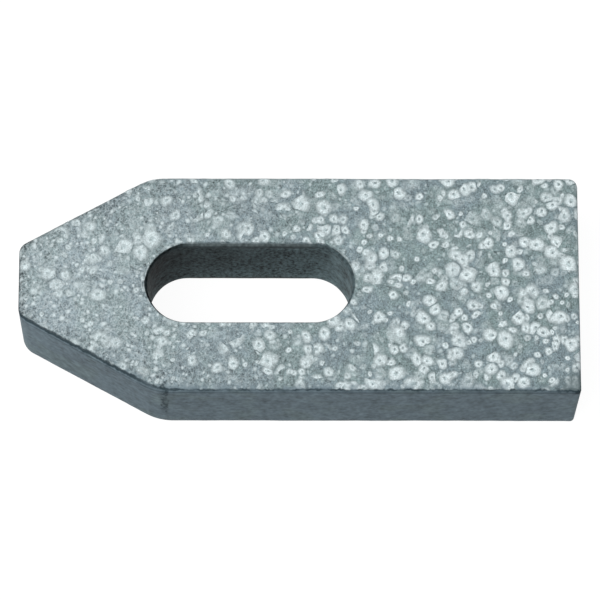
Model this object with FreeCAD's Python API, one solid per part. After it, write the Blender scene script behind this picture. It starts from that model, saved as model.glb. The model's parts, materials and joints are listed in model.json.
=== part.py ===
import FreeCAD, Part
import math
import os

from FreeCAD import Vector

# A plain strap clamp: one flat steel bar with a tapered nose and a long slot for the clamping stud.
# The frame's origin is the middle of the bar's underside. +Y runs from the heel to the nose,
# +Z from the underside to the top face, and +X is the right side, seen from the heel.

# Driving dimensions, in millimetres
length = 100.0
width = 40.0
thickness = 20.0

# The nose: how wide its end is, how far its middle lies to the right of the bar's middle,
# and how far back from it each side reaches its full width. The two sides differ a little,
# as they do on a bar whose tapers are cut one after the other.
nose_width = 13.5
nose_offset = 0.4
right_taper_length = 23.4
left_taper_length = 24.7

# The slot: its width takes the stud with clearance, its ends are half round
slot_width = 14.0
slot_length = 36.6
slot_from_nose = 22.9

# Upright corners of the outline, as seen from above
shoulder_radius = 10.0
nose_right_radius = 2.2
nose_left_radius = 3.6
heel_right_radius = 1.6
heel_left_radius = 0.8

# Rounding of the edges where the walls meet the two flat faces
rim_radius = 0.7
slot_rim_radius = 0.5

# Edges this close to a flat face's height lie on it
on_face = 1e-6


def rounded_corner(before, corner, after, radius):
    """The arc of this radius that joins the two sides of an outline at a corner."""
    back = (before - corner).normalize()
    ahead = (after - corner).normalize()
    half_angle = back.getAngle(ahead) / 2
    setback = radius / math.tan(half_angle)
    inward = (back + ahead).normalize()
    middle = corner + inward * (radius / math.sin(half_angle) - radius)
    return Part.Arc(corner + back * setback, middle, corner + ahead * setback)


def rounded_outline(corners):
    """A closed face through (x, y, radius) corners, with a tangent arc at each."""
    points = [Vector(x, y, 0) for x, y, radius in corners]
    arcs = []
    for i, (x, y, radius) in enumerate(corners):
        after = points[(i + 1) % len(points)]
        arcs.append(rounded_corner(points[i - 1], points[i], after, radius))
    edges = []
    for i, arc in enumerate(arcs):
        edges.append(Part.LineSegment(arcs[i - 1].EndPoint, arc.StartPoint).toShape())
        edges.append(arc.toShape())
    return Part.Face(Part.Wire(edges))


def bar_outline():
    """The bar from above: square heel, parallel sides, and a nose with a taper on each side."""
    heel_y = -length / 2
    nose_y = length / 2
    side_x = width / 2
    nose_right_x = nose_offset + nose_width / 2
    nose_left_x = nose_offset - nose_width / 2
    return rounded_outline([
        (-side_x, heel_y, heel_left_radius),
        (side_x, heel_y, heel_right_radius),
        (side_x, nose_y - right_taper_length, shoulder_radius),
        (nose_right_x, nose_y, nose_right_radius),
        (nose_left_x, nose_y, nose_left_radius),
        (-side_x, nose_y - left_taper_length, shoulder_radius),
    ])


def slot_outline():
    """The slot from above: two straight walls on the bar's middle line, joined by half rounds."""
    end_radius = slot_width / 2
    front_y = length / 2 - slot_from_nose
    front_centre_y = front_y - end_radius
    rear_centre_y = front_y - slot_length + end_radius
    front_end = Part.Arc(
        Vector(end_radius, front_centre_y, 0),
        Vector(0, front_centre_y + end_radius, 0),
        Vector(-end_radius, front_centre_y, 0),
    )
    rear_end = Part.Arc(
        Vector(-end_radius, rear_centre_y, 0),
        Vector(0, rear_centre_y - end_radius, 0),
        Vector(end_radius, rear_centre_y, 0),
    )
    left_wall = Part.LineSegment(front_end.EndPoint, rear_end.StartPoint)
    right_wall = Part.LineSegment(rear_end.EndPoint, front_end.StartPoint)
    sides = [front_end, left_wall, rear_end, right_wall]
    return Part.Face(Part.Wire([side.toShape() for side in sides]))


def rim_edges(solid, outline):
    """The solid's edges that run along this outline, on the underside and on the top face."""
    edges = []
    for edge in solid.Edges:
        box = edge.BoundBox
        flat = box.ZLength < on_face
        at_face = abs(box.ZMin) < on_face or abs(box.ZMin - thickness) < on_face
        if not (flat and at_face):
            continue
        middle = edge.valueAt((edge.FirstParameter + edge.LastParameter) / 2)
        below = Part.Vertex(middle.x, middle.y, 0)
        if outline.OuterWire.distToShape(below)[0] < on_face:
            edges.append(edge)
    return edges


def strap_clamp():
    """The whole clamp: the bar, its slot cut through, and every rim eased."""
    bar = bar_outline()
    slot = slot_outline()
    through = Vector(0, 0, thickness)
    clamp = bar.extrude(through).cut(slot.extrude(through))
    clamp = clamp.makeFillet(rim_radius, rim_edges(clamp, bar))
    return clamp.makeFillet(slot_rim_radius, rim_edges(clamp, slot))


os.makedirs("parts", exist_ok=True)
strap_clamp().exportStep("parts/strap_clamp.step")
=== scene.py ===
import json
import math
from collections import namedtuple
from functools import cached_property

import bmesh
import bpy
from mathutils import Matrix, Vector, kdtree, noise


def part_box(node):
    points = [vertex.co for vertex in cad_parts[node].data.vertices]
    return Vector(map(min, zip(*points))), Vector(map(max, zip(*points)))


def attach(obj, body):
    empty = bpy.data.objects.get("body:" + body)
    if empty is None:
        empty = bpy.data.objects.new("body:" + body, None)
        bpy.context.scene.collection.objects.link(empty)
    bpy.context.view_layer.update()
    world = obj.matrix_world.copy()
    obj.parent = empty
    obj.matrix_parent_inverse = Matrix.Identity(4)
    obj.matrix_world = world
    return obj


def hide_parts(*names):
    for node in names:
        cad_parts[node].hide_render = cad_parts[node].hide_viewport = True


# A plain strap clamp: one steel bar with a tapered nose and a slot for its stud. The bar's flat
# faces keep a pale, blistered scale, its walls are cut clean, and its rims are eased by hand.
# The frame's origin is the middle of the bar's underside, +Y runs to the nose and +Z to the top.

bl_info = {
    "name": "Strap Clamp",
    "version": (1, 0, 0),
    "blender": (4, 5, 0),
    "location": "3D View > Sidebar > Strap Clamp",
    "description": "Makes a slotted strap clamp in blistered steel, and the stage it is shown on",
    "category": "Object",
}

MM = 0.001

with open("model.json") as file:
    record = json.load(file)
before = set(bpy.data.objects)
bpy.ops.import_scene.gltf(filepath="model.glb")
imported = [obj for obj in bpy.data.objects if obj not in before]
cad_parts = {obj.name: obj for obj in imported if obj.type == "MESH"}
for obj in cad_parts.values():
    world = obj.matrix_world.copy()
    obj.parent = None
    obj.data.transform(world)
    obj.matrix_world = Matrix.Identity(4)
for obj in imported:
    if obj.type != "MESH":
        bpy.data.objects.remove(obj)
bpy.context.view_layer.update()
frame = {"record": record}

NODE = "strap_clamp"
low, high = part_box(NODE)
stud_slot = next(m for m in frame["record"]["mounts"] if m["name"] == "stud_slot")


def length_property(name, description, default):
    """A size in metres, as a user edits it."""
    return bpy.props.FloatProperty(
        name=name, description=description, default=default, min=0.0,
        precision=5, subtype="DISTANCE", unit="LENGTH",
    )


def angle_property(name, description, degrees):
    """An angle, given here in degrees and held in radians."""
    return bpy.props.FloatProperty(
        name=name, description=description, default=math.radians(degrees),
        subtype="ANGLE", unit="ROTATION",
    )


def colour_property(name, description, default):
    """A linear colour, as a user picks it."""
    return bpy.props.FloatVectorProperty(
        name=name, description=description, default=default, size=3,
        min=0.0, max=1.0, subtype="COLOR",
    )


class ClampShape(bpy.types.PropertyGroup):
    """The sizes of the bar that its box and its slot don't give."""

    nose_width: length_property("Nose width", "How wide the nose's end is", 13.5 * MM)
    nose_offset: bpy.props.FloatProperty(
        name="Nose offset", description="How far the nose's middle lies to the right",
        default=0.4 * MM, precision=5, subtype="DISTANCE", unit="LENGTH",
    )
    right_taper: length_property("Right taper", "How far back the right taper runs", 23.4 * MM)
    left_taper: length_property("Left taper", "How far back the left taper runs", 24.7 * MM)
    shoulder_radius: length_property("Shoulder radius", "Where a taper meets its side", 10 * MM)
    nose_right_radius: length_property("Right nose radius", "The nose's right corner", 2.2 * MM)
    nose_left_radius: length_property("Left nose radius", "The nose's left corner", 3.6 * MM)
    heel_right_radius: length_property("Right heel radius", "The heel's right corner", 1.6 * MM)
    heel_left_radius: length_property("Left heel radius", "The heel's left corner", 0.8 * MM)
    rim: length_property("Rim", "How far the bar's edges are eased", 0.8 * MM)
    slot_rim: length_property("Slot rim", "How far the slot's edges are eased", 0.5 * MM)
    outline_step: length_property("Outline step", "The spacing of points round a wall", 0.5 * MM)
    top_step: length_property("Top step", "The mesh spacing on the top face", 0.26 * MM)
    under_step: length_property("Underside step", "The mesh spacing on the underside", 0.38 * MM)
    nick_back: length_property("Nick", "How far the nick lies behind the nose", 26 * MM)
    relief: length_property("Relief", "How high a blister stands", 0.05 * MM)


class ClampFinish(bpy.types.PropertyGroup):
    """The colours of the bar's scale, its blisters and its cut walls."""

    scale_blue: colour_property("Blue scale", "The scale's bluish patches", (0.2175, 0.283, 0.308))
    scale_green: colour_property("Green scale", "The scale's greenish patches", (0.2195, 0.293, 0.297))
    froth: colour_property("Froth", "The pale scale of the nose", (0.392, 0.455, 0.487))
    blister: colour_property("Blister", "The body of a blister", (0.49, 0.588, 0.605))
    blister_ring: colour_property("Blister ring", "A blister's raised ring", (0.69, 0.782, 0.8))
    pit: colour_property("Pit", "The pits and the lines between blisters", (0.13, 0.17, 0.178))
    wall: colour_property("Wall", "The cut walls", (0.1735, 0.229, 0.263))
    wall_green: colour_property("Green wall", "The tinted patches on the walls", (0.1765, 0.233, 0.2545))
    slot_rim: colour_property("Slot rim", "The worn rim of the slot", (0.077, 0.097, 0.101))
    bore: colour_property("Slot wall", "The wall inside the slot", (0.105, 0.147, 0.158))
    line: colour_property("Rim line", "The dark line where the scale breaks off", (0.025, 0.04, 0.048))


class ClampStage(bpy.types.PropertyGroup):
    """The camera, the lamp and the surroundings."""

    azimuth: angle_property("Azimuth", "The camera's turn about the bar", -92.101)
    elevation: angle_property("Elevation", "The camera's height above the horizon", 73.365)
    roll: angle_property("Roll", "The camera's turn about its own axis", 2.11)
    distance: length_property("Distance", "From the camera to the bar", 811.5 * MM)
    aim_right: length_property("Aim right", "How far the camera looks past the origin", 0.358 * MM)
    aim_up: length_property("Aim up", "How far the camera looks above the origin", 2.879 * MM)
    lens: bpy.props.FloatProperty(
        name="Lens", description="The focal length", default=266.75, min=1.0, unit="CAMERA",
    )
    floor_size: length_property("Floor size", "The length of the floor's sides", 6.0)
    floor_gap: length_property("Floor gap", "How far the floor lies under the bar", 0.02 * MM)
    lamp_power: bpy.props.FloatProperty(
        name="Lamp power", description="The lamp above the bar", default=6.7, min=0.0,
        unit="POWER",
    )
    lamp_size: length_property("Lamp size", "The length of the lamp's sides", 0.7)
    lamp_place: bpy.props.FloatVectorProperty(
        name="Lamp place", description="Where the lamp hangs, turned to the origin",
        default=(-0.15, 0.3, 0.83), size=3, subtype="TRANSLATION", unit="LENGTH",
    )
    surround: bpy.props.FloatProperty(
        name="Surround", description="The light from all round", default=0.38, min=0.0, max=1.0,
    )


class Number:
    """A socket that holds a number. Arithmetic on it adds Math nodes to its tree."""

    def __init__(self, nodes, socket):
        self.nodes = nodes
        self.socket = socket

    def __add__(self, other):
        return self.nodes.math("ADD", self, other)

    def __sub__(self, other):
        return self.nodes.math("SUBTRACT", self, other)

    def __rsub__(self, other):
        return self.nodes.math("SUBTRACT", other, self)

    def __mul__(self, other):
        return self.nodes.math("MULTIPLY", self, other)

    def __truediv__(self, other):
        return self.nodes.math("DIVIDE", self, other)

    __radd__ = __add__
    __rmul__ = __mul__


class Nodes:
    """Adds nodes to one tree, of a material, the world or a modifier."""

    def __init__(self, tree):
        self.tree = tree
        tree.nodes.clear()

    def add(self, kind, settings=None, values=None):
        """A node of this kind, with its settings made first and its sockets set or linked."""
        node = self.tree.nodes.new(kind)
        for name, setting in (settings or {}).items():
            setattr(node, name, setting)
        for name, value in (values or {}).items():
            self.put(value, node.inputs[name])
        return node

    def put(self, value, socket):
        """Sets a socket to a plain value, or links it to a number or another socket."""
        if isinstance(value, Number):
            self.tree.links.new(value.socket, socket)
        elif isinstance(value, bpy.types.NodeSocket):
            self.tree.links.new(value, socket)
        else:
            socket.default_value = value

    def number(self, node, output=0):
        return Number(self, node.outputs[output])

    def attribute(self, name):
        """A number that the mesh holds at each of its points."""
        return self.number(self.add("ShaderNodeAttribute", {"attribute_name": name}), "Fac")

    def math(self, operation, *values):
        return self.number(self.add(
            "ShaderNodeMath", {"operation": operation}, dict(enumerate(values)),
        ))

    def fade(self, value, start, end):
        """0 where the value is at the start, 1 where it is at the end, and smooth between."""
        return self.number(self.add(
            "ShaderNodeMapRange", {"interpolation_type": "SMOOTHSTEP"},
            {"Value": value, "From Min": start, "From Max": end},
        ))

    def vector(self, operation, *values):
        """A Vector Math node's vector."""
        node = self.add("ShaderNodeVectorMath", {"operation": operation}, dict(enumerate(values)))
        return node.outputs["Vector"]

    def scaled(self, vector, factor):
        node = self.add(
            "ShaderNodeVectorMath", {"operation": "SCALE"}, {"Vector": vector, "Scale": factor},
        )
        return node.outputs["Vector"]

    def length(self, vector):
        node = self.add("ShaderNodeVectorMath", {"operation": "LENGTH"}, {0: vector})
        return self.number(node, "Value")

    def dot(self, first, second):
        settings = {"operation": "DOT_PRODUCT"}
        return self.number(self.add("ShaderNodeVectorMath", settings, {0: first, 1: second}), "Value")

    def heading(self, angle):
        """The flat unit vector that points this way."""
        node = self.add("ShaderNodeCombineXYZ", values={
            "X": self.math("COSINE", angle), "Y": self.math("SINE", angle),
        })
        return node.outputs["Vector"]

    def turned(self, vector, angle):
        """A place turned about the vertical, and moved aside so that patterns don't repeat."""
        node = self.add("ShaderNodeVectorRotate", {"rotation_type": "Z_AXIS"}, {
            "Vector": vector, "Center": (0.1, 0.2, 0), "Angle": angle,
        })
        return node.outputs["Vector"]

    def lit(self, tone, light):
        """A colour made lighter or darker by this factor."""
        grey = self.add("ShaderNodeCombineXYZ", values={"X": light, "Y": light, "Z": light})
        return self.vector("MULTIPLY", tone, grey.outputs["Vector"])

    def axes(self, vector):
        """A vector's or a colour's three numbers."""
        node = self.add("ShaderNodeSeparateXYZ", values={"Vector": vector})
        return [self.number(node, i) for i in range(3)]

    def mix(self, factor, first, second):
        """The first colour where the factor is 0, and the second where it is 1."""
        node = self.add("ShaderNodeMix", {"data_type": "RGBA"}, {0: factor, 6: first, 7: second})
        return node.outputs[2]

    def noise(self, place, size, detail=2.0, roughness=0.5):
        """A noise node whose features are about this large, in metres."""
        return self.add("ShaderNodeTexNoise", values={
            "Vector": place, "Scale": 1 / size, "Detail": detail, "Roughness": roughness,
        })

    def grain(self, place, size, detail=2.0, roughness=0.5):
        """Noise as a number about 0, mostly within half each way."""
        return self.number(self.noise(place, size, detail, roughness)) - 0.5


def colour(values):
    """A node's four numbers from a colour property."""
    return (*values, 1.0)


class BlisterLayer:
    """Blisters of one range of sizes, at most one in each cell of a flat pattern.

    The reach is 0 at a blister's middle and 1 at its rim, and where two cells meet a seam stays.
    Each mask adds its nodes when it is first asked for. Soft blisters are fainter and blurred.
    """

    longer = 0.22
    many_turns = 60.0
    past_neighbours = 1.15
    seam_start, seam_end, seam_share = 0.03 * MM, 0.06 * MM, 0.05
    pin_aside = 0.22
    faintest = 0.22

    def __init__(self, nodes, place, spacing, smallest, largest, share, soft=0.0, scatter=0.58):
        self.nodes = nodes
        self.soft = soft
        settings = {"voronoi_dimensions": "2D"}
        values = {"Vector": place, "Scale": 1 / spacing, "Randomness": scatter}
        cells = nodes.add("ShaderNodeTexVoronoi", settings, values)
        middle = cells.outputs["Position"]
        to_edge = {**settings, "feature": "DISTANCE_TO_EDGE"}
        borders = nodes.add("ShaderNodeTexVoronoi", to_edge, values)
        neighbours = nodes.add("ShaderNodeTexVoronoi", to_edge, {**values, "Vector": middle})

        size_draw, share_draw, self.draw = nodes.axes(cells.outputs["Color"])
        radius = smallest + size_draw * size_draw * (largest - smallest)
        most = nodes.number(neighbours) * (spacing * self.past_neighbours)
        self.radius = nodes.math("MINIMUM", radius, most)
        self.from_middle = nodes.vector("SUBTRACT", place, middle)
        along = nodes.dot(self.from_middle, nodes.heading(size_draw * self.many_turns))
        squared = nodes.dot(self.from_middle, self.from_middle) - along * along * self.longer
        self.reach = nodes.math("SQRT", squared) / self.radius

        self.present = nodes.math("LESS_THAN", share_draw, share)
        seam_end = self.seam_end + spacing * self.seam_share
        in_cell = nodes.fade(nodes.number(borders) * spacing, self.seam_start, seam_end)
        self.shown = self.present * in_cell

    @cached_property
    def strength(self):
        """How plainly each blister shows."""
        drawn = self.nodes.fade(self.draw, 0.2, 0.65)
        return (self.faintest + drawn * (1 - self.faintest)) * (1 - self.soft * 0.15)

    @cached_property
    def ring(self):
        """0 at the middle and 1 from the raised ring outwards."""
        return self.nodes.fade(self.reach, 0.1, 0.42)

    @cached_property
    def body(self):
        body = self.nodes.fade(self.reach, 1.3 + self.soft * 0.1, 0.48 - self.soft * 0.25)
        return self.shown * body * (0.8 + self.ring * 0.2)

    @cached_property
    def halo(self):
        """The dark line round a blister."""
        return self.present * self.nodes.fade(self.reach, 1.5, 1.0) * (1 - self.body)

    @cached_property
    def pin(self):
        """The pin hole beside the middle of a large blister."""
        pin = self.nodes.scaled(
            self.nodes.heading(self.draw * self.many_turns), self.radius * self.pin_aside,
        )
        from_pin = self.nodes.length(self.nodes.vector("SUBTRACT", self.from_middle, pin))
        large = self.nodes.fade(self.radius, 0.35 * MM, 0.95 * MM)
        return self.nodes.fade(from_pin, 0.27 * MM, 0.1 * MM) * large

    @cached_property
    def dome(self):
        """The blister's height, 1 at its middle."""
        return self.shown * self.nodes.math("MAXIMUM", 1 - self.reach * self.reach, 0)

    @cached_property
    def glow(self):
        """The pale of a blister too small to show a ring."""
        return self.shown * self.nodes.fade(self.reach, 1.1, 0.1)


# A grade of blister: how far apart its places lie, its smallest and largest radius, the share of
# places that hold one at the heel, how much less at the nose, and how much more in the clumps
Grade = namedtuple("Grade", "spacing smallest largest at_heel less_at_nose more_in_clumps")
GRADES = (
    Grade(1.6 * MM, 0.42 * MM, 0.75 * MM, 0.4, 0.24, -0.6),
    Grade(2.2 * MM, 0.65 * MM, 1.15 * MM, 0.56, 0.42, 1.2),
    Grade(2.8 * MM, 0.85 * MM, 1.4 * MM, 0.56, 0.44, 1.6),
    Grade(3.6 * MM, 1.0 * MM, 1.75 * MM, 0.54, 0.4, 1.6),
)

# The first grade's turn about the vertical, in radians. Each later grade is turned by 1 more.
FIRST_GRADE_TURN = 0.6

# Where the pattern is cut from its noise: its level, and how far aside the top face's is cut
PATTERN_LEVEL = 9.7 * MM
TOP_ASIDE = 0.3

# The noise that bends the blisters out of round: its size, its detail and how far it moves a place
BENDS = ((3.2 * MM, 0.0, 1.1 * MM), (0.7 * MM, 1.0, 0.3 * MM))


def bent_by_noise(nodes, flat):
    """A flat place pushed about a little, so that the blisters aren't quite round."""
    bent = flat
    for size, detail, reach in BENDS:
        shade = nodes.noise(flat, size, detail).outputs["Color"]
        push = nodes.vector("SUBTRACT", shade, (0.5, 0.5, 0.5))
        bent = nodes.vector("ADD", bent, nodes.scaled(push, reach))
    return nodes.vector("MULTIPLY", bent, (1, 1, 0))


def blister_layers(nodes, place):
    """The blisters that stand up from a flat face, the largest last, and the pattern's places."""
    _, y, z = nodes.axes(place)
    toward_nose = nodes.fade(y, low.y, high.y)
    on_top = nodes.math("GREATER_THAN", z, (low.z + high.z) / 2)
    flat = nodes.vector("MULTIPLY", place, (1, 1, 0))
    flat = nodes.vector("ADD", flat, nodes.scaled((TOP_ASIDE, 0, 0), on_top))
    flat = nodes.vector("ADD", flat, (0, 0, PATTERN_LEVEL))
    bent = bent_by_noise(nodes, flat)
    clumps = nodes.grain(flat, 8 * MM, 1.0)
    layers = []
    for number, grade in enumerate(GRADES):
        turned = nodes.turned(bent, FIRST_GRADE_TURN + number)
        share = grade.at_heel - toward_nose * grade.less_at_nose + clumps * grade.more_in_clumps
        layers.append(BlisterLayer(
            nodes, turned, grade.spacing, grade.smallest, grade.largest, share, toward_nose,
        ))
    return flat, bent, toward_nose, layers


def laid_flat(nodes, place, rim):
    """A place on an eased rim moved out as if the rim were unrolled, to keep its pattern's scale."""
    normal = nodes.add("ShaderNodeNewGeometry").outputs["Normal"]
    outward = nodes.vector("MULTIPLY", normal, (1, 1, 0))
    tilt = nodes.length(outward)
    longer = (nodes.math("ARCSINE", tilt) / tilt - 1) * rim
    return nodes.vector("ADD", place, nodes.scaled(outward, longer))


class ScaleSkin:
    """The blistered scale: its colour (tone), its height in metres and its roughness.

    The edge is how far a place lies in from where the scale breaks off, and less than 0 past it.
    """

    def __init__(self, nodes, place, edge, rim, finish):
        self.nodes = nodes
        self.finish = finish
        unrolled = laid_flat(nodes, place, rim)
        flat, self.bent, self.toward_nose, layers = blister_layers(nodes, unrolled)
        x, y, z = nodes.axes(place)
        down = nodes.math("MINIMUM", z - low.z, high.z - z)
        self.flat = nodes.vector("ADD", flat, nodes.scaled((0, 0, 1), down))
        self.fine = nodes.grain(self.flat, 0.21 * MM, 1.0, 0.6)
        self.mottle = nodes.grain(self.flat, 0.5 * MM, 1.0)
        self.roughness = 0.62 + self.fine * 0.2
        self.tone = nodes.lit(self.bare(), self.light(x, y, edge))
        self.add_froth()
        for layer in layers:
            self.add_blisters(layer)

    def bare(self):
        """The colour between the blisters, patchy and paler towards the nose."""
        nodes, finish, toward_nose = self.nodes, self.finish, self.toward_nose
        patches = nodes.fade(nodes.grain(self.flat, 6 * MM, 2.0), -0.1, 0.1)
        tone = nodes.mix(patches, colour(finish.scale_blue), colour(finish.scale_green))
        return nodes.mix(toward_nose * toward_nose * 0.36, tone, colour(finish.froth))

    def light(self, x, y, edge):
        """How light the scale is: darker beside the slot, with painted shade near the rims round the
        nose, and painted light over the heel's and far side's rims, which turn from the lamp.
        """
        nodes, toward_nose = self.nodes, self.toward_nose
        from_middle = nodes.math("ABSOLUTE", x)
        beside = nodes.fade(from_middle, 6 * MM, 16 * MM) * nodes.fade(y, -15 * MM, 10 * MM)
        # Painted shade near the rims of the taper, most on the right, and of the nose's end
        shaded = nodes.fade(y, 18 * MM, 30 * MM) * (0.08 + nodes.fade(x, -6 * MM, 4 * MM) * 0.14)
        shaded = shaded + nodes.fade(y, high.y - 4 * MM, high.y - 1 * MM) * 0.34
        light = 0.92 - beside * 0.11 - nodes.fade(edge, 3.4 * MM, 0.3 * MM) * shaded
        # Painted light over the rims of the heel and the far side, which turn from the lamp
        at_heel = nodes.fade(y, low.y + 2 * MM, low.y)
        turned_from_lamp = at_heel + nodes.fade(x, high.x - 2 * MM, high.x) * 0.6
        light = light + turned_from_lamp * nodes.fade(edge, 1.3 * MM, 0.6 * MM) * 0.36
        light = light + self.fine * (2.0 - toward_nose * 0.6)
        light = light + self.mottle * (0.55 + toward_nose * 0.6)
        return light + nodes.grain(self.flat, 1.3 * MM, 2.0, 0.6) * 0.8

    def add_froth(self):
        """The smallest blisters and the ridges between them, which thicken towards the nose."""
        nodes, toward_nose = self.nodes, self.toward_nose
        blister, ring = colour(self.finish.blister), colour(self.finish.blister_ring)
        dots = BlisterLayer(
            nodes, self.bent, 0.62 * MM, 0.16 * MM, 0.4 * MM, 0.5 + toward_nose * 0.15,
            scatter=1.0,
        )
        self.tone = nodes.mix(dots.glow * dots.strength * 0.5, self.tone, blister)
        froth = BlisterLayer(
            nodes, self.bent, 1.2 * MM, 0.3 * MM, 0.9 * MM, 0.34 + toward_nose * 0.36,
            scatter=1.0,
        )
        froth_tone = nodes.mix(toward_nose, blister, ring)
        self.tone = nodes.mix(froth.glow * froth.strength * 0.8, self.tone, froth_tone)
        from_ridge = nodes.math("ABSOLUTE", nodes.grain(self.flat, 0.9 * MM, 1.0))
        ridges = nodes.fade(from_ridge, 0.07, 0.01)
        self.tone = nodes.mix(ridges * (0.03 + toward_nose * toward_nose * 0.28), self.tone, ring)
        self.height = self.fine * 0.015 * MM + froth.dome * 0.006 * MM

    def add_blisters(self, layer):
        """One grade of blister: a dark line round it, a pale body and ring, and a pin hole."""
        nodes, toward_nose = self.nodes, self.toward_nose
        blister, ring = colour(self.finish.blister), colour(self.finish.blister_ring)
        pit = colour(self.finish.pit)
        self.tone = nodes.mix(layer.halo * layer.strength * 0.5, self.tone, pit)
        inner = nodes.mix(layer.ring * (1 - toward_nose * 0.2), blister, ring)
        inner = nodes.lit(inner, 0.98 + self.fine * 1.0 + self.mottle * 0.6)
        shown = layer.body * layer.strength
        self.tone = nodes.mix(shown, self.tone, inner)
        self.tone = nodes.mix(shown * layer.pin * (0.85 - toward_nose * 0.35), self.tone, pit)
        self.height = nodes.math("MAXIMUM", self.height, layer.dome * 0.025 * MM)


# How a cut wall's pattern is scaled along each axis: drawn out upwards, or streaked along the wall
DRAWN_UP = (1, 1, 0.75)
STREAKED_ALONG = (1, 1, 2.5)


def cut_wall(nodes, place, finish):
    """The outer walls: satin, streaked along by the saw, tinted here and there, and with painted light
    on the left taper near the nose.
    """
    x, y, _ = nodes.axes(place)
    drawn = nodes.vector("MULTIPLY", place, DRAWN_UP)
    streaks = nodes.grain(nodes.vector("MULTIPLY", place, STREAKED_ALONG), 2.4 * MM, 1.0)
    specks = nodes.grain(drawn, 0.72 * MM, 1.5, 0.5)
    tint = nodes.fade(nodes.grain(place, 7 * MM, 2.0), 0.0, 0.15)
    tone = nodes.mix(tint, colour(finish.wall), colour(finish.wall_green))
    patches = nodes.grain(drawn, 1.3 * MM, 1.0) + nodes.grain(drawn, 4 * MM, 1.0) * 0.5
    # Painted light on the left taper near the nose
    light = 1 + nodes.fade(y, 38 * MM, 49 * MM) * nodes.fade(x, 0.0, -6 * MM) * 0.1
    tone = nodes.lit(tone, light + streaks * 0.55 + specks * 0.68 + patches * 0.72)
    return tone, (streaks + specks) * 0.02 * MM, 0.5 + streaks * 0.2


def slot_wall(nodes, place, edge, finish):
    """The wall inside the slot: dark and grained, with painted shade towards the nose, the top and its
    rim, and painted light low down and towards the heel.
    """
    _, y, z = nodes.axes(place)
    drawn = nodes.vector("MULTIPLY", place, DRAWN_UP)
    patches = nodes.grain(drawn, 2.6 * MM, 2.0)
    # Painted light and shade: lighter low down and towards the heel, darker towards the nose, its end
    # and the rim
    light = 1.12 + nodes.fade(z, high.z, low.z) * 0.37 - nodes.fade(y, -10 * MM, 24 * MM) * 0.7
    light = light + nodes.fade(y, -2 * MM, -9 * MM) * 0.15
    light = light - nodes.fade(y, 18 * MM, 26 * MM) * 0.15
    light = light * (1 - nodes.fade(edge, -0.85 * MM, -0.3 * MM) * 0.5)
    grain = nodes.grain(drawn, 0.7 * MM, 3.0, 0.6) * (4.4 - nodes.fade(y, 2 * MM, -8 * MM) * 2.0)
    return nodes.lit(tuple(finish.bore), light * (1 + grain + patches * 1.8))


def slot_side(nodes, place, edge, far_rim, finish):
    """The slot's wall with its worn far rim, which the dark of the wall eats into."""
    eaten = nodes.grain(place, 1.2 * MM, 2.0) * 0.96 * MM
    on_rim = nodes.fade(edge + eaten, -1.9 * MM, -1.0 * MM)
    rim = nodes.lit(tuple(finish.slot_rim), 1 + nodes.grain(place, 0.8 * MM, 2.0) * 2.2)
    return nodes.mix(on_rim * far_rim, slot_wall(nodes, place, edge, finish), rim)


def saw_nick(nodes, place, shape):
    """Where a broken dark nick runs down the left wall, behind the bend."""
    x, y, z = nodes.axes(place)
    wander = nodes.grain(place, 1.2 * MM, 2.0) * 1.6 * MM
    across = nodes.math("ABSOLUTE", y - (high.y - shape.nick_back) + wander)
    broken = nodes.fade(nodes.grain(place, 1.0 * MM, 1.0), -0.08, 0.06)
    on_left = nodes.math("LESS_THAN", x, low.x * 0.9)
    nick = nodes.fade(across, 0.95 * MM, 0.3 * MM) * nodes.fade(z, 3 * MM, 8 * MM)
    return nick * (0.35 + broken * 0.65) * on_left


def painted_corner_shade(nodes, place, reach):
    """Painted shade at the left corner of the heel, up to this far from its top."""
    corner = (low.x, low.y, high.z - 0.5 * MM)
    away = nodes.length(nodes.vector("SUBTRACT", place, corner))
    return nodes.fade(away + nodes.grain(place, 1.0 * MM, 1.0) * reach, reach, reach * 0.35)


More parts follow.
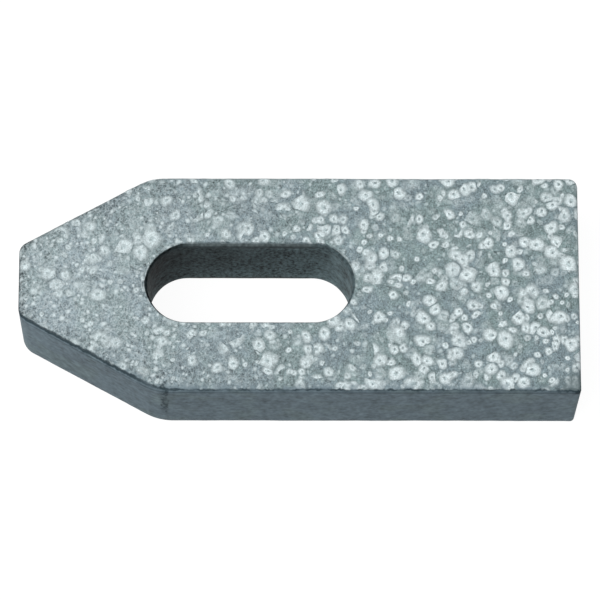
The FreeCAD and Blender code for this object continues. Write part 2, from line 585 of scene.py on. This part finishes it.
class Steel:
    """The bar's finish: scale on the flat faces, dark broken edges, and cut walls."""

    # How far the painted shade at the heel's left corner reaches: in all, and at its darkest
    corner_shade_reach = 6 * MM
    corner_reach = 1.6 * MM

    def __init__(self, nodes, finish, shape):
        self.nodes = nodes
        self.finish = finish
        self.shape = shape
        self.place = nodes.add("ShaderNodeTexCoord").outputs["Object"]
        self.x, self.y, self.z = nodes.axes(self.place)
        self.edge = nodes.attribute("edge")
        self.in_slot = nodes.attribute("in_slot")
        self.on_left = nodes.fade(self.x, -8 * MM, -14 * MM)
        uneven = 0.5 * MM + self.on_left * (0.3 * MM) - self.in_slot * (0.25 * MM)
        self.ragged = self.edge + nodes.grain(self.place, 0.9 * MM, 2.0) * uneven - 0.05 * MM
        # Painted shade at the heel's left corner
        self.corner_shade = painted_corner_shade(nodes, self.place, self.corner_shade_reach)
        self.add_surfaces()
        self.add_rim_lines()
        self.add_marks()

    def add_surfaces(self):
        """The scale, and past its ragged end the outer walls and the slot's wall."""
        nodes = self.nodes
        from_slot_middle = nodes.math("ABSOLUTE", self.y - stud_slot["pos_m"][1])
        far_rim = nodes.fade(self.x, 5.4 * MM, 6.8 * MM)
        far_rim = far_rim * nodes.fade(from_slot_middle, 13 * MM, 10 * MM)
        blur = self.in_slot * (0.04 * MM + far_rim * (0.13 * MM))
        self.on_skin = nodes.fade(self.ragged, -0.06 * MM - blur, 0.08 * MM + blur)

        skin = ScaleSkin(nodes, self.place, self.edge, self.shape.rim, self.finish)
        wall, wall_height, wall_roughness = cut_wall(nodes, self.place, self.finish)
        slot = slot_side(nodes, self.place, self.edge, far_rim, self.finish)
        sides = nodes.mix(self.in_slot, wall, slot)
        self.tone = nodes.mix(self.on_skin, sides, self.worn(skin.tone))
        self.height = skin.height * self.on_skin + wall_height * (1 - self.on_skin)
        self.roughness = skin.roughness * self.on_skin + wall_roughness * (1 - self.on_skin)

    def worn(self, tone):
        """The scale's colour, worn through here and there along the left side."""
        nodes = self.nodes
        start = (0.2 + self.on_left * 1.4) * MM
        worn = nodes.fade(self.ragged, start, -0.1 * MM) * self.on_left
        here = nodes.fade(nodes.grain(self.place, 1.9 * MM, 1.0), -0.09, 0.09)
        return nodes.mix(worn * (0.25 + here * 0.7), tone, colour(self.finish.wall))

    def darken(self, mask, tone):
        self.tone = self.nodes.mix(mask, self.tone, colour(tone))

    def add_rim_lines(self):
        """The dark broken line where the scale ends, and the fainter one under it."""
        nodes = self.nodes
        outside = 1 - self.in_slot
        on_nose = nodes.fade(self.y, 22 * MM, 30 * MM)
        at_heel = nodes.fade(self.y, low.y + 2 * MM, low.y + 0.5 * MM)
        at_right = nodes.fade(self.x, high.x - 2 * MM, high.x - 0.5 * MM)
        turned_from_lamp = nodes.math("MAXIMUM", at_heel, at_right)
        broken = nodes.fade(nodes.grain(self.place, 1.6 * MM, 2.0), -0.1, 0.1)
        # The line is weaker over the heel's and far side's rims, as painted light where they turn from
        # the lamp
        broken = (broken * 0.5 + 0.4) * (1 - turned_from_lamp * 0.7)
        # Round the nose and in the painted corner shade the line runs unbroken and wider
        unbroken = nodes.math("MAXIMUM", on_nose, self.corner_shade)
        dark = nodes.math("MAXIMUM", broken, unbroken)
        width = 0.3 * MM + on_nose * (0.18 * MM) + self.corner_shade * (0.3 * MM)
        upper_line = nodes.fade(nodes.math("ABSOLUTE", self.ragged) / width, 1, 0.3)
        on_top = nodes.fade(self.z, 8 * MM, 12 * MM)
        self.darken(upper_line * dark * outside * (0.4 + on_top * 0.5), self.finish.line)
        under_line = nodes.fade(self.edge, -0.95 * MM, -0.6 * MM) * (1 - self.on_skin) * outside
        self.darken(under_line * (0.4 - on_nose * 0.2), self.finish.line)

    def add_marks(self):
        """The nick, the painted shade at the heel's left corner, and the thin line under each rim."""
        nodes, line = self.nodes, self.finish.line
        self.darken(saw_nick(nodes, self.place, self.shape) * 0.75, line)
        self.darken(painted_corner_shade(nodes, self.place, self.corner_reach) * 0.85, line)
        # Painted shade over the scale at the heel's left corner
        self.darken(self.corner_shade * self.on_skin * 0.75, self.finish.pit)
        from_line = nodes.math("ABSOLUTE", self.edge + 0.75 * MM)
        self.darken(nodes.fade(from_line, 0.22 * MM, 0.06 * MM) * 0.3, line)


def clamp_steel(scene):
    """The bar's material, of which only the colour, roughness and bump change over the surface."""
    material = bpy.data.materials.new("scaled_steel")
    material.use_nodes = True
    nodes = Nodes(material.node_tree)
    steel = Steel(nodes, scene.clamp_finish, scene.clamp_shape)
    bump = nodes.add("ShaderNodeBump", values={"Height": steel.height, "Distance": 1.0})
    shader = nodes.add("ShaderNodeBsdfPrincipled", values={
        "Base Color": steel.tone,
        "Roughness": steel.roughness,
        "Normal": bump.outputs["Normal"],
        "Specular IOR Level": 0.01,
    })
    nodes.add("ShaderNodeOutputMaterial", values={"Surface": shader.outputs["BSDF"]})
    return material


def corner_arc(before, corner, after, radius):
    """Where an arc of this radius starts at an outline's corner, its centre and its turn."""
    back = (before - corner).normalized()
    ahead = (after - corner).normalized()
    turn = math.pi - back.angle(ahead)
    start = corner + back * radius * math.tan(turn / 2)
    centre = corner + (back + ahead).normalized() * radius / math.cos(turn / 2)
    return start, centre, turn


def bar_arcs(shape):
    """The arcs of the bar's outline, counter-clockwise from the heel's left corner."""
    nose = (low.x + high.x) / 2 + shape.nose_offset
    corners = [
        (low.x, low.y, shape.heel_left_radius),
        (high.x, low.y, shape.heel_right_radius),
        (high.x, high.y - shape.right_taper, shape.shoulder_radius),
        (nose + shape.nose_width / 2, high.y, shape.nose_right_radius),
        (nose - shape.nose_width / 2, high.y, shape.nose_left_radius),
        (low.x, high.y - shape.left_taper, shape.shoulder_radius),
    ]
    points = [Vector((x, y, 0)) for x, y, radius in corners]
    return [
        corner_arc(points[i - 1], points[i], points[(i + 1) % len(points)], corners[i][2])
        for i in range(len(points))
    ]


def slot_arcs():
    """The two half rounds of the slot, which the record's stud mount gives."""
    radius = stud_slot["dims"]["hole_r_mm"] * MM
    reach = stud_slot["dims"]["slot_length_mm"] * MM / 2 - radius
    middle = Vector((stud_slot["pos_m"][0], stud_slot["pos_m"][1], 0))
    front = middle + Vector((0, reach, 0))
    rear = middle - Vector((0, reach, 0))
    side = Vector((radius, 0, 0))
    return [(front + side, front, math.pi), (rear - side, rear, math.pi)]


def spun(bm, vert, steps, centre, turn, shift):
    """Draws a vertex out along an arc or a straight run, and returns the last one."""
    made = bmesh.ops.spin(
        bm, geom=[vert], cent=centre, axis=(0, 0, 1), angle=turn, dvec=shift, steps=steps,
    )
    return made["geom_last"][0]


def spin_ring(bm, arcs, step):
    """One closed ring of edges through these arcs, with points about a step apart."""
    made = len(bm.verts)
    last = bm.verts.new(arcs[0][0])
    for i, (start, centre, turn) in enumerate(arcs):
        steps = max(6, math.ceil((start - centre).length * turn / step))
        last = spun(bm, last, steps, centre, turn, (0, 0, 0))
        run = arcs[(i + 1) % len(arcs)][0] - last.co
        steps = math.ceil(run.length / step)
        last = spun(bm, last, steps, last.co, 0, run / steps)
    bm.verts.ensure_lookup_table()
    bmesh.ops.pointmerge(bm, verts=[bm.verts[made], last], merge_co=arcs[0][0])
    return bm.verts[made:]


class Wall:
    """One closed wall of the bar: its points from above, the way into the steel, and its rims."""

    rim_steps = 6
    wall_steps = 8
    corner_share = 0.8
    tight_corners = 2
    widening = 0.25

    def __init__(self, bm, arcs, step, rim, into_sign, ease):
        order = bm.verts.layers.int["order"]
        self.ring = spin_ring(bm, arcs, step)
        self.points = [vert.co.copy() for vert in self.ring]
        self.into = []
        for i, vert in enumerate(self.ring):
            vert[order] = i
            along = (self.points[(i + 1) % len(self.points)] - self.points[i - 1]).normalized()
            self.into.append(Vector((-along.y, along.x, 0)) * into_sign)
        inside = into_sign < 0
        self.in_slot = float(inside)
        self.rims = [self.eased(rim, arcs, ease, below) for below in (True, False)]
        self.scale_ends = [
            [scale_end(into, inside, below) for into in self.into] for below in (True, False)
        ]

    def eased(self, rim, arcs, ease, below):
        """The rim's width at each point, led down smoothly to what a sharp corner leaves room for."""
        corners = [(centre, (start - centre).length) for start, centre, turn in arcs]
        tightest = min(radius for centre, radius in corners)
        tight = [corner for corner in corners if corner[1] < self.tight_corners * tightest]
        widths = []
        for point in self.points:
            away = min((point - centre).length - radius for centre, radius in tight)
            limit = self.corner_share * tightest + max(0, away) * self.widening
            widths.append(min(ease(point, rim, below), limit))
        return widths

    def quarter_round(self, rim, level, inward):
        """(share of the rim inwards, height, edge distance) from a flat face over to the wall."""
        made = []
        for k in range(self.rim_steps + 1):
            angle = k / self.rim_steps * math.pi / 2
            height = level + inward * rim * (1 - math.cos(angle))
            made.append((1 - math.sin(angle), height, -rim * angle))
        return made

    def section(self, i):
        """(place, edge distance) of each point up the wall here, from the underside to the top."""
        under, top = self.rims[0][i], self.rims[1][i]
        point, into = self.points[i], self.into[i]
        places = self.quarter_round(under, low.z, 1)
        start, end = low.z + under, high.z - top
        for k in range(1, self.wall_steps):
            z = start + (end - start) * k / self.wall_steps
            places.append((0, z, -math.pi / 2 * under - min(z - start, end - z)))
        places += reversed(self.quarter_round(top, high.z, -1))
        half = len(places) // 2
        made = []
        for k, (share, z, edge) in enumerate(places):
            rim, side = (under, 0) if k < half else (top, 1)
            scaled_edge = edge + self.scale_ends[side][i] * rim
            made.append((point + into * share * rim + Vector((0, 0, z)), scaled_edge))
        return made


def ease_by_hand(point, rim, below):
    """How wide an eased rim is at this place: uneven, as a file leaves it."""
    level = Vector((0, 0, -40 if below else 40)) * MM
    slow = noise.noise((point + level) / (6 * MM))
    quick = noise.noise((point + level) / (1.4 * MM))
    return rim * (1 + 0.22 * slow + 0.12 * quick)


# How far out over a rim the scale runs, as a share of the rim's width: on the bar's right side,
# the most that it does on the underside, and in the slot
SCALE_ON_RIM = 1.6
MOST_BELOW = 0.6
SCALE_IN_SLOT = 0.2


def scale_end(into, in_slot, below):
    """The share of a rim that the scale covers where this way leads into the steel."""
    if in_slot:
        far, near = max(0, into.x), max(0, -into.x)
        nose, heel = max(0, into.y), max(0, -into.y)
        across = near - 0.36 * far * far * (1 - nose) ** 3
        return SCALE_IN_SLOT + across - 0.12 * nose + 0.7 * nose * far - 0.05 * heel * heel
    left = max(0, into.x)
    share = SCALE_ON_RIM - 1.15 * left * left * (3 - 2 * left) - 0.14 * left * max(0, -into.y)
    return min(share, MOST_BELOW) if below else share


def in_order(elements):
    """Each element once, in the order given, so that the mesh comes out alike in every run."""
    return list(dict.fromkeys(elements))


def sweep_wall(bm, wall, edge_layer, slot_layer):
    """Extrudes the wall's ring up its sections and returns its lowest and highest edges."""
    order = bm.verts.layers.int["order"]
    sections = [wall.section(i) for i in range(len(wall.points))]
    for vert, section in zip(wall.ring, sections):
        vert.co, vert[edge_layer] = section[0]
        vert[slot_layer] = wall.in_slot
    edges = in_order(edge for vert in wall.ring for edge in vert.link_edges)
    lowest = edges
    for k in range(1, len(sections[0])):
        made = bmesh.ops.extrude_edge_only(bm, edges=edges)["geom"]
        for vert in (g for g in made if isinstance(g, bmesh.types.BMVert)):
            place, edge = sections[vert[order]][k]
            vert.co = place
            vert[edge_layer] = edge
        edges = [g for g in made if isinstance(g, bmesh.types.BMEdge) and g.is_boundary]
    return lowest, edges


# The share of the grid's step that its points keep clear of a rim
CLEAR_OF_RIM = 0.6


def fill_face(bm, walls, loops, level, side, step, edge_layer):
    """Covers one flat face with a grid that stops short of the rims, and joins it to them."""
    tree = kdtree.KDTree(sum(len(wall.points) for wall in walls))
    owners = []
    for wall in walls:
        for i, point in enumerate(wall.points):
            tree.insert(point, len(owners))
            owners.append((wall, i))
    tree.balance()

    across, along = high.x - low.x, high.y - low.y
    place = Matrix.Translation(((low.x + high.x) / 2, (low.y + high.y) / 2, level))
    grid = bmesh.ops.create_grid(
        bm, x_segments=round(across / step), y_segments=round(along / step), size=0.5,
        matrix=place @ Matrix.Diagonal((across, along, 1, 1)),
    )["verts"]
    outside = []
    nearest = {}
    for vert in grid:
        flat = Vector((vert.co.x, vert.co.y, 0))
        found, index, distance = tree.find(flat)
        wall, i = owners[index]
        rim = wall.rims[side][i]
        inset = (flat - found).dot(wall.into[i]) - rim
        vert[edge_layer] = inset + wall.scale_ends[side][i] * rim
        nearest[vert] = wall
        if inset < step * CLEAR_OF_RIM:
            outside.append(vert)
    bmesh.ops.delete(bm, geom=outside, context="VERTS")
    kept = [vert for vert in grid if vert.is_valid]
    border = in_order(e for vert in kept for e in vert.link_edges if e.is_boundary)
    for wall, loop in zip(walls, loops):
        mine = [e for e in border if nearest[e.verts[0]] is wall]
        bmesh.ops.triangle_fill(bm, use_beauty=True, edges=mine + loop)


def clamp_mesh(shape):
    """The bar as one closed mesh, with its grid fine enough for the blisters' relief."""
    bm = bmesh.new()
    bm.verts.layers.int.new("order")
    edge_layer = bm.verts.layers.float.new("edge")
    slot_layer = bm.verts.layers.float.new("in_slot")
    step = shape.outline_step
    walls = [
        Wall(bm, bar_arcs(shape), step, shape.rim, 1, ease_by_hand),
        Wall(bm, slot_arcs(), step, shape.slot_rim, -1, ease_by_hand),
    ]
    loops = [sweep_wall(bm, wall, edge_layer, slot_layer) for wall in walls]
    fill_face(bm, walls, [loop[0] for loop in loops], low.z, 0, shape.under_step, edge_layer)
    fill_face(bm, walls, [loop[1] for loop in loops], high.z, 1, shape.top_step, edge_layer)
    bmesh.ops.recalc_face_normals(bm, faces=bm.faces)
    for face in bm.faces:
        face.smooth = True
    mesh = bpy.data.meshes.new("clamp_bar")
    bm.to_mesh(mesh)
    bm.free()
    return mesh


def add_relief(piece, shape):
    """Lets the blisters stand up from the flat faces, below the height of the bar."""
    group = bpy.data.node_groups.new("blister_relief", "GeometryNodeTree")
    group.interface.new_socket("Geometry", in_out="INPUT", socket_type="NodeSocketGeometry")
    group.interface.new_socket("Geometry", in_out="OUTPUT", socket_type="NodeSocketGeometry")
    nodes = Nodes(group)
    place = nodes.add("GeometryNodeInputPosition").outputs["Position"]
    edge = nodes.number(nodes.add(
        "GeometryNodeInputNamedAttribute", {"data_type": "FLOAT"}, {"Name": "edge"},
    ))
    height = 0.0
    for layer in blister_layers(nodes, place)[-1]:
        height = nodes.math("MAXIMUM", height, layer.dome)
    sunk = nodes.fade(edge, -0.1 * MM, 0.3 * MM) * (height - 1) * shape.relief
    normal = nodes.add("GeometryNodeInputNormal").outputs["Normal"]
    start = nodes.add("NodeGroupInput").outputs["Geometry"]
    moved = nodes.add("GeometryNodeSetPosition", values={
        "Geometry": start, "Offset": nodes.scaled(normal, sunk),
    })
    nodes.add("NodeGroupOutput", values={"Geometry": moved.outputs["Geometry"]})
    modifier = piece.modifiers.new("relief", "NODES")
    modifier.node_group = group
    shown = piece.evaluated_get(bpy.context.evaluated_depsgraph_get())
    piece.data = bpy.data.meshes.new_from_object(shown)
    piece.modifiers.clear()
    bpy.data.node_groups.remove(group)


class CLAMP_OT_bar(bpy.types.Operator):
    """Make the slotted bar with its eased rims and blistered faces"""

    bl_idname = "clamp.bar"
    bl_label = "Make Bar"

    def execute(self, context):
        scene = context.scene
        piece = bpy.data.objects.new("clamp_bar", clamp_mesh(scene.clamp_shape))
        scene.collection.objects.link(piece)
        add_relief(piece, scene.clamp_shape)
        piece.data.materials.append(clamp_steel(scene))
        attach(piece, "root")
        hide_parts(NODE)
        return {"FINISHED"}


def seen_directly(nodes):
    """1 for what the camera sees, straight or by a reflection or through glass, and 0 for light."""
    path = nodes.add("ShaderNodeLightPath")
    seen = Number(nodes, path.outputs["Is Camera Ray"])
    glossy = path.outputs["Is Glossy Ray"]
    through = path.outputs["Is Transmission Ray"]
    return nodes.math("MAXIMUM", nodes.math("MAXIMUM", seen, glossy), through)


# How much of the floor's white takes a shadow, and how much is its own
FLOOR_SHADE = 0.12
FLOOR_GLOW = 0.94


def floor_material():
    """A white floor that keeps a soft shadow and lets the light from all round pass."""
    material = bpy.data.materials.new("floor")
    material.use_nodes = True
    nodes = Nodes(material.node_tree)
    lit = nodes.add("ShaderNodeBsdfDiffuse", values={"Color": colour((FLOOR_SHADE,) * 3)})
    own = nodes.add("ShaderNodeEmission", values={"Strength": FLOOR_GLOW})
    white = nodes.add("ShaderNodeAddShader", values={0: lit.outputs[0], 1: own.outputs[0]})
    clear = nodes.add("ShaderNodeBsdfTransparent")
    from_below = nodes.number(nodes.add("ShaderNodeNewGeometry"), "Backfacing")
    shown = seen_directly(nodes) * (1 - from_below)
    mixed = nodes.add("ShaderNodeMixShader", values={
        0: shown, 1: clear.outputs[0], 2: white.outputs[0],
    })
    nodes.add("ShaderNodeOutputMaterial", values={"Surface": mixed.outputs[0]})
    return material


class CLAMP_OT_stage(bpy.types.Operator):
    """Set the floor, the lamp, the surroundings and the camera"""

    bl_idname = "clamp.stage"
    bl_label = "Set Stage"

    def execute(self, context):
        scene = context.scene
        stage = scene.clamp_stage
        self.add_floor(scene, stage)
        self.add_lamp(scene, stage)
        self.add_surround(scene, stage)
        self.add_camera(scene, stage)
        scene.view_settings.view_transform = "Standard"
        return {"FINISHED"}

    def add_floor(self, scene, stage):
        bm = bmesh.new()
        place = Matrix.Translation((0, 0, low.z - stage.floor_gap))
        bmesh.ops.create_grid(bm, x_segments=1, y_segments=1, size=stage.floor_size / 2, matrix=place)
        mesh = bpy.data.meshes.new("floor")
        bm.to_mesh(mesh)
        bm.free()
        mesh.materials.append(floor_material())
        floor = bpy.data.objects.new("floor", mesh)
        scene.collection.objects.link(floor)

    def add_lamp(self, scene, stage):
        lamp = bpy.data.lights.new("key", "AREA")
        lamp.shape = "SQUARE"
        lamp.size = stage.lamp_size
        lamp.energy = stage.lamp_power
        key = bpy.data.objects.new("key", lamp)
        key.location = stage.lamp_place
        key.rotation_euler = (-key.location).to_track_quat("-Z", "Y").to_euler()
        scene.collection.objects.link(key)

    def add_surround(self, scene, stage):
        world = bpy.data.worlds.new("surround")
        world.use_nodes = True
        nodes = Nodes(world.node_tree)
        strength = nodes.math("MAXIMUM", seen_directly(nodes), stage.surround)
        light = nodes.add("ShaderNodeBackground", values={
            "Color": (1, 1, 1, 1), "Strength": strength,
        })
        nodes.add("ShaderNodeOutputWorld", values={"Surface": light.outputs[0]})
        scene.world = world

    def add_camera(self, scene, stage):
        camera = bpy.data.objects.new("camera", bpy.data.cameras.new("camera"))
        camera.data.lens = stage.lens
        turn = (
            Matrix.Rotation(stage.azimuth, 3, "Z")
            @ Matrix.Rotation(math.pi / 2 - stage.elevation, 3, "X")
            @ Matrix.Rotation(stage.roll, 3, "Z")
        )
        place = turn @ Vector((stage.aim_right, stage.aim_up, stage.distance))
        camera.matrix_world = Matrix.Translation(place) @ turn.to_4x4()
        scene.collection.objects.link(camera)
        scene.camera = camera


class CLAMP_PT_panel(bpy.types.Panel):
    """The strap clamp's sizes, colours and operators"""

    bl_label = "Strap Clamp"
    bl_space_type = "VIEW_3D"
    bl_region_type = "UI"
    bl_category = "Strap Clamp"

    def draw(self, context):
        for title, group, operator in (
            ("Shape", context.scene.clamp_shape, None),
            ("Finish", context.scene.clamp_finish, CLAMP_OT_bar),
            ("Stage", context.scene.clamp_stage, CLAMP_OT_stage),
        ):
            box = self.layout.box()
            box.label(text=title)
            for name in group.bl_rna.properties.keys():
                if name not in ("rna_type", "name"):
                    box.prop(group, name)
            if operator:
                box.operator(operator.bl_idname)


GROUPS = {
    "clamp_shape": ClampShape,
    "clamp_finish": ClampFinish,
    "clamp_stage": ClampStage,
}
CLASSES = (*GROUPS.values(), CLAMP_OT_bar, CLAMP_OT_stage, CLAMP_PT_panel)


def register():
    for made in CLASSES:
        bpy.utils.register_class(made)
    for name, group in GROUPS.items():
        setattr(bpy.types.Scene, name, bpy.props.PointerProperty(type=group))


def unregister():
    for name in GROUPS:
        delattr(bpy.types.Scene, name)
    for made in reversed(CLASSES):
        bpy.utils.unregister_class(made)


def main():
    register()
    bpy.ops.clamp.bar()
    bpy.ops.clamp.stage()


if __name__ == "__main__":
    main()
